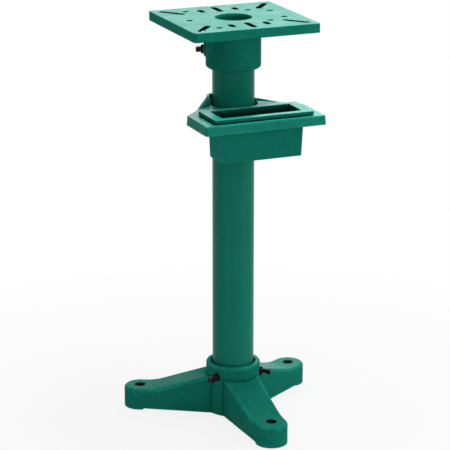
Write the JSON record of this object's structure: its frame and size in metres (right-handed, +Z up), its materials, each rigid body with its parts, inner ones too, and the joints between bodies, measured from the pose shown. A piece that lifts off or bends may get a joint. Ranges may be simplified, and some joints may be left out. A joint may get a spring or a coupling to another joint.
{
  "type": "bench grinder stand",
  "caption": "Pedestal stand for a bench grinder: three-legged cast base, tubular column, slotted top plate, height-adjustable tool tray with lift-out water pot.",
  "frame": {"origin": "on the floor at the column's axis, at the centre of the circle of foot holes", "axes": "+Z up along the column, +X to the user's right along the top plate's front edge, front (tool tray side) towards -Y"},
  "size_m": [0.3916, 0.3477, 0.802],
  "materials": {
    "cast_enamel": "glossy teal-green enamel over a fine cast texture",
    "tube_enamel": "smooth glossy teal-green enamel",
    "black_oxide": "satin black oxide"
  },
  "bodies": {
    "base": {"base_casting": "cast_enamel"},
    "column": {"column_tube": "tube_enamel"},
    "plate": {"top_plate": "cast_enamel"},
    "tray": {"tool_tray": "cast_enamel"},
    "pot": {"water_pot": "cast_enamel"},
    "base_set_screw_left": {"base_set_screw_left": "black_oxide"},
    "base_set_screw_right": {"base_set_screw_right": "black_oxide"},
    "base_set_screw_rear": {"base_set_screw_rear": "black_oxide"},
    "tray_set_screw_left": {"tray_set_screw_left": "black_oxide"},
    "tray_set_screw_right": {"tray_set_screw_right": "black_oxide"},
    "tray_set_screw_rear": {"tray_set_screw_rear": "black_oxide"},
    "plate_set_screw_left": {"plate_set_screw_left": "black_oxide"},
    "plate_set_screw_right": {"plate_set_screw_right": "black_oxide"},
    "base_lock_nut_left": {"base_lock_nut_left": "black_oxide"},
    "base_lock_nut_right": {"base_lock_nut_right": "black_oxide"},
    "base_lock_nut_rear": {"base_lock_nut_rear": "black_oxide"},
    "tray_lock_nut_left": {"tray_lock_nut_left": "black_oxide"},
    "tray_lock_nut_right": {"tray_lock_nut_right": "black_oxide"},
    "tray_lock_nut_rear": {"tray_lock_nut_rear": "black_oxide"},
    "plate_lock_nut_left": {"plate_lock_nut_left": "black_oxide"},
    "plate_lock_nut_right": {"plate_lock_nut_right": "black_oxide"}
  },
  "joints": [
    {"name": "column_swivel", "type": "hinge", "parent": "base", "child": "column", "pos_m": [0, 0, 0.1], "axis": [0, 0, 1], "continuous": true},
    {"name": "plate_swivel", "type": "hinge", "parent": "column", "child": "plate", "pos_m": [0, 0, 0.75], "axis": [0, 0, 1], "continuous": true},
    {"name": "tray_slide", "type": "slide", "parent": "column", "child": "tray", "axis": [0, 0, 1], "range_m": [-0.46, 0.04]},
    {"name": "pot_lift", "type": "slide", "parent": "tray", "child": "pot", "axis": [0, 0, 1], "range_m": [0, 0.09]},
    {"name": "base_screw_turn_left", "type": "hinge", "parent": "base", "child": "base_set_screw_left", "pos_m": [-0.0433, -0.025, 0.084], "axis": [-0.866, -0.5, 0], "range_deg": [0, 720]},
    {"name": "base_screw_turn_right", "type": "hinge", "parent": "base", "child": "base_set_screw_right", "pos_m": [0.0433, -0.025, 0.084], "axis": [0.866, -0.5, 0], "range_deg": [0, 720]},
    {"name": "base_screw_turn_rear", "type": "hinge", "parent": "base", "child": "base_set_screw_rear", "pos_m": [0, 0.05, 0.084], "axis": [0, 1, 0], "range_deg": [0, 720]},
    {"name": "tray_screw_turn_left", "type": "hinge", "parent": "tray", "child": "tray_set_screw_left", "pos_m": [-0.0433, -0.025, 0.592], "axis": [-0.866, -0.5, 0], "range_deg": [0, 720]},
    {"name": "tray_screw_turn_right", "type": "hinge", "parent": "tray", "child": "tray_set_screw_right", "pos_m": [0.0433, -0.025, 0.592], "axis": [0.866, -0.5, 0], "range_deg": [0, 720]},
    {"name": "tray_screw_turn_rear", "type": "hinge", "parent": "tray", "child": "tray_set_screw_rear", "pos_m": [0, 0.05, 0.592], "axis": [0, 1, 0], "range_deg": [0, 720]},
    {"name": "plate_screw_turn_left", "type": "hinge", "parent": "plate", "child": "plate_set_screw_left", "pos_m": [-0.0433, 0.025, 0.738], "axis": [-0.866, 0.5, 0], "range_deg": [0, 720]},
    {"name": "plate_screw_turn_right", "type": "hinge", "parent": "plate", "child": "plate_set_screw_right", "pos_m": [0.0433, 0.025, 0.738], "axis": [0.866, 0.5, 0], "range_deg": [0, 720]},
    {"name": "base_nut_turn_left", "type": "hinge", "parent": "base", "child": "base_lock_nut_left", "pos_m": [-0.0433, -0.025, 0.084], "axis": [-0.866, -0.5, 0], "range_deg": [0, 360]},
    {"name": "base_nut_turn_right", "type": "hinge", "parent": "base", "child": "base_lock_nut_right", "pos_m": [0.0433, -0.025, 0.084], "axis": [0.866, -0.5, 0], "range_deg": [0, 360]},
    {"name": "base_nut_turn_rear", "type": "hinge", "parent": "base", "child": "base_lock_nut_rear", "pos_m": [0, 0.05, 0.084], "axis": [0, 1, 0], "range_deg": [0, 360]},
    {"name": "tray_nut_turn_left", "type": "hinge", "parent": "tray", "child": "tray_lock_nut_left", "pos_m": [-0.0433, -0.025, 0.592], "axis": [-0.866, -0.5, 0], "range_deg": [0, 360]},
    {"name": "tray_nut_turn_right", "type": "hinge", "parent": "tray", "child": "tray_lock_nut_right", "pos_m": [0.0433, -0.025, 0.592], "axis": [0.866, -0.5, 0], "range_deg": [0, 360]},
    {"name": "tray_nut_turn_rear", "type": "hinge", "parent": "tray", "child": "tray_lock_nut_rear", "pos_m": [0, 0.05, 0.592], "axis": [0, 1, 0], "range_deg": [0, 360]},
    {"name": "plate_nut_turn_left", "type": "hinge", "parent": "plate", "child": "plate_lock_nut_left", "pos_m": [-0.0433, 0.025, 0.738], "axis": [-0.866, 0.5, 0], "range_deg": [0, 360]},
    {"name": "plate_nut_turn_right", "type": "hinge", "parent": "plate", "child": "plate_lock_nut_right", "pos_m": [0.0433, 0.025, 0.738], "axis": [0.866, 0.5, 0], "range_deg": [0, 360]}
  ]
}
